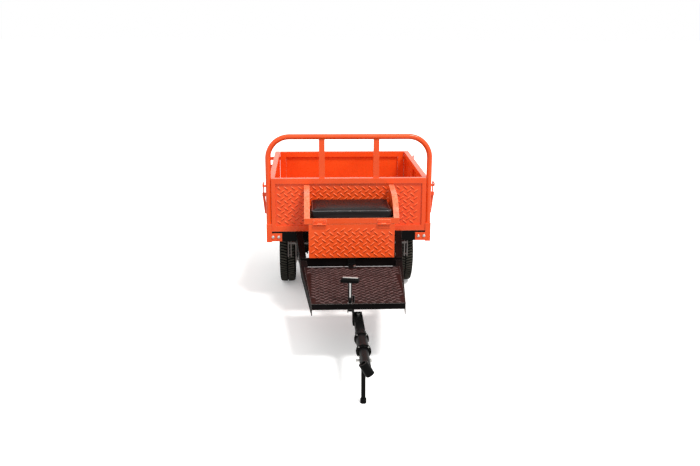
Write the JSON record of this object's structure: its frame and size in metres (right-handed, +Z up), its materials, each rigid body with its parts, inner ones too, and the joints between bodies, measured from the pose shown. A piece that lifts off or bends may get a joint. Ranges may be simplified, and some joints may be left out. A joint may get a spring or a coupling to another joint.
{
  "type": "tow behind cart",
  "caption": "Two-wheel hauling trailer with drop sides, guard hoop, padded toolbox seat, footboard with brake pedal, swivel drawbar eye and folding prop leg.",
  "frame": {"origin": "on the ground, under the middle of the whole trailer's length and width", "axes": "+Z up, the drawbar points to -Y, +X to the right as seen from the front looking at the bed"},
  "size_m": [1.1, 2.7195, 1.098],
  "materials": {
    "orange_paint": "gloss",
    "black_paint": "gloss",
    "zinc": "satin",
    "rubber": "matte",
    "rim_paint": "satin",
    "cast_hub": "matte",
    "vinyl": "satin",
    "plywood": "matte"
  },
  "bodies": {
    "chassis": {"deck_frame": "black_paint", "bed_floor": "orange_paint", "front_wall_frame": "orange_paint", "front_wall_panel": "orange_paint", "guard_hoop": "orange_paint", "corner_plates": "orange_paint", "frame_bolts": "zinc", "toolbox_body": "orange_paint", "toolbox_front": "orange_paint", "seat_hinge_leaves": "orange_paint", "centre_bracket": "black_paint", "frame_rails": "black_paint", "footboard": "black_paint", "drawbar_tube": "black_paint", "drawbar_bracket": "black_paint", "swivel_housing": "black_paint", "leg_pivot_bolt": "zinc", "axle_beam": "black_paint", "leaf_springs": "black_paint", "spring_hardware": "black_paint", "brake_backplates": "black_paint", "hinge_pins": "zinc", "pedal_spring": "zinc"},
    "side_left": {"side_frame_left": "orange_paint", "side_sheet_left": "orange_paint"},
    "side_right": {"side_frame_right": "orange_paint", "side_sheet_right": "orange_paint"},
    "tailgate": {"tailgate_frame": "orange_paint", "tailgate_sheet": "orange_paint"},
    "lever_front_left": {"latch_lever_front_left": "orange_paint"},
    "hook_front_left": {"latch_hook_front_left": "orange_paint"},
    "lever_front_right": {"latch_lever_front_right": "orange_paint"},
    "hook_front_right": {"latch_hook_front_right": "orange_paint"},
    "lever_rear_left": {"latch_lever_rear_left": "orange_paint"},
    "hook_rear_left": {"latch_hook_rear_left": "orange_paint"},
    "lever_rear_right": {"latch_lever_rear_right": "orange_paint"},
    "hook_rear_right": {"latch_hook_rear_right": "orange_paint"},
    "seat": {"seat_frame": "orange_paint", "seat_board": "plywood", "seat_cushion": "vinyl"},
    "pedal": {"brake_pedal": "black_paint"},
    "pull_rod": {"brake_pull_rod": "zinc"},
    "cross_shaft": {"brake_cross_shaft": "zinc"},
    "brake_rod_left": {"brake_rod_left": "zinc"},
    "cam_left": {"cam_lever_left": "zinc"},
    "brake_rod_right": {"brake_rod_right": "zinc"},
    "cam_right": {"cam_lever_right": "zinc"},
    "wheel_left": {"tyre_left": "rubber", "rim_left": "rim_paint", "hub_drum_left": "cast_hub", "wheel_bearings_left": "zinc", "wheel_nuts_left": "zinc"},
    "wheel_right": {"tyre_right": "rubber", "rim_right": "rim_paint", "hub_drum_right": "cast_hub", "wheel_bearings_right": "zinc", "wheel_nuts_right": "zinc"},
    "hitch": {"hitch_head": "black_paint"},
    "leg": {"prop_leg": "black_paint", "leg_foot": "black_paint"}
  },
  "joints": [
    {"name": "side_drop_left", "type": "hinge", "parent": "chassis", "child": "side_left", "pos_m": [-0.5115, 0.82875, 0.486], "axis": [0, -1, 0], "range_deg": [0, 175]},
    {"name": "side_drop_right", "type": "hinge", "parent": "chassis", "child": "side_right", "pos_m": [0.5115, 0.82875, 0.486], "axis": [0, 1, 0], "range_deg": [0, 175]},
    {"name": "tailgate_drop", "type": "hinge", "parent": "chassis", "child": "tailgate", "pos_m": [0, 1.35175, 0.486], "axis": [-1, 0, 0], "range_deg": [0, 175]},
    {"name": "latch_lever_front_left", "type": "hinge", "parent": "side_left", "child": "lever_front_left", "pos_m": [-0.541, 0.33825, 0.709], "axis": [0, 1, 0], "range_deg": [0, 80]},
    {"name": "latch_hook_front_left", "type": "hinge", "parent": "lever_front_left", "child": "hook_front_left", "pos_m": [-0.541, 0.33825, 0.695], "axis": [0, 1, 0], "range_deg": [-80, 0]},
    {"name": "latch_lever_front_right", "type": "hinge", "parent": "side_right", "child": "lever_front_right", "pos_m": [0.541, 0.33825, 0.709], "axis": [0, -1, 0], "range_deg": [0, 80]},
    {"name": "latch_hook_front_right", "type": "hinge", "parent": "lever_front_right", "child": "hook_front_right", "pos_m": [0.541, 0.33825, 0.695], "axis": [0, -1, 0], "range_deg": [-80, 0]},
    {"name": "latch_lever_rear_left", "type": "hinge", "parent": "side_left", "child": "lever_rear_left", "pos_m": [-0.541, 1.31925, 0.709], "axis": [0, 1, 0], "range_deg": [0, 80]},
    {"name": "latch_hook_rear_left", "type": "hinge", "parent": "lever_rear_left", "child": "hook_rear_left", "pos_m": [-0.541, 1.31925, 0.695], "axis": [0, 1, 0], "range_deg": [-80, 0]},
    {"name": "latch_lever_rear_right", "type": "hinge", "parent": "side_right", "child": "lever_rear_right", "pos_m": [0.541, 1.31925, 0.709], "axis": [0, -1, 0], "range_deg": [0, 80]},
    {"name": "latch_hook_rear_right", "type": "hinge", "parent": "lever_rear_right", "child": "hook_rear_right", "pos_m": [0.541, 1.31925, 0.695], "axis": [0, -1, 0], "range_deg": [-80, 0]},
    {"name": "seat_tilt", "type": "hinge", "parent": "chassis", "child": "seat", "pos_m": [0, -0.06575, 0.6095], "axis": [1, 0, 0], "range_deg": [0, 100]},
    {"name": "brake_pedal", "type": "hinge", "parent": "chassis", "child": "pedal", "pos_m": [-0.044, -0.72275, 0.318], "axis": [1, 0, 0], "range_deg": [0, 16], "stiffness_Nm_per_rad": 20, "springref_deg": -5.73, "deforming": ["pedal_spring"]},
    {"name": "brake_pull", "type": "slide", "parent": "chassis", "child": "pull_rod", "axis": [0, -1, 0], "range_m": [0, 0.005]},
    {"name": "brake_shaft_turn", "type": "hinge", "parent": "chassis", "child": "cross_shaft", "pos_m": [0, 0.38725, 0.372], "axis": [-1, 0, 0], "range_deg": [0, 8]},
    {"name": "brake_rod_left", "type": "slide", "parent": "chassis", "child": "brake_rod_left", "axis": [0, -1, 0], "range_m": [0, 0.016]},
    {"name": "brake_cam_left", "type": "hinge", "parent": "chassis", "child": "cam_left", "pos_m": [-0.33, 0.71325, 0.287], "axis": [-1, 0, 0], "range_deg": [0, 25]},
    {"name": "brake_rod_right", "type": "slide", "parent": "chassis", "child": "brake_rod_right", "axis": [0, -1, 0], "range_m": [0, 0.016]},
    {"name": "brake_cam_right", "type": "hinge", "parent": "chassis", "child": "cam_right", "pos_m": [0.33, 0.71325, 0.287], "axis": [-1, 0, 0], "range_deg": [0, 25]},
    {"name": "wheel_spin_left", "type": "hinge", "parent": "chassis", "child": "wheel_left", "pos_m": [-0.402, 0.75725, 0.235], "axis": [1, 0, 0], "continuous": true},
    {"name": "wheel_spin_right", "type": "hinge", "parent": "chassis", "child": "wheel_right", "pos_m": [0.402, 0.75725, 0.235], "axis": [1, 0, 0], "continuous": true},
    {"name": "hitch_roll", "type": "hinge", "parent": "chassis", "child": "hitch", "pos_m": [0, -1.20275, 0.262], "axis": [0, 1, 0], "range_deg": [-14, 76]},
    {"name": "leg_fold", "type": "hinge", "parent": "chassis", "child": "leg", "pos_m": [0, -1.13275, 0.212], "axis": [1, 0, 0], "range_deg": [0, 92]}
  ],
  "couplings": [
    {"joint": "latch_hook_front_left", "follows": "latch_lever_front_left", "ratio": -1},
    {"joint": "latch_hook_front_right", "follows": "latch_lever_front_right", "ratio": -1},
    {"joint": "latch_hook_rear_left", "follows": "latch_lever_rear_left", "ratio": -1},
    {"joint": "latch_hook_rear_right", "follows": "latch_lever_rear_right", "ratio": -1},
    {"joint": "brake_pull", "follows": "brake_pedal", "m_per_rad": 0.017},
    {"joint": "brake_shaft_turn", "follows": "brake_pedal", "ratio": 0.45946},
    {"joint": "brake_rod_left", "follows": "brake_pedal", "m_per_rad": 0.055135},
    {"joint": "brake_cam_left", "follows": "brake_pedal", "ratio": 1.484},
    {"joint": "brake_rod_right", "follows": "brake_pedal", "m_per_rad": 0.055135},
    {"joint": "brake_cam_right", "follows": "brake_pedal", "ratio": 1.484}
  ]
}
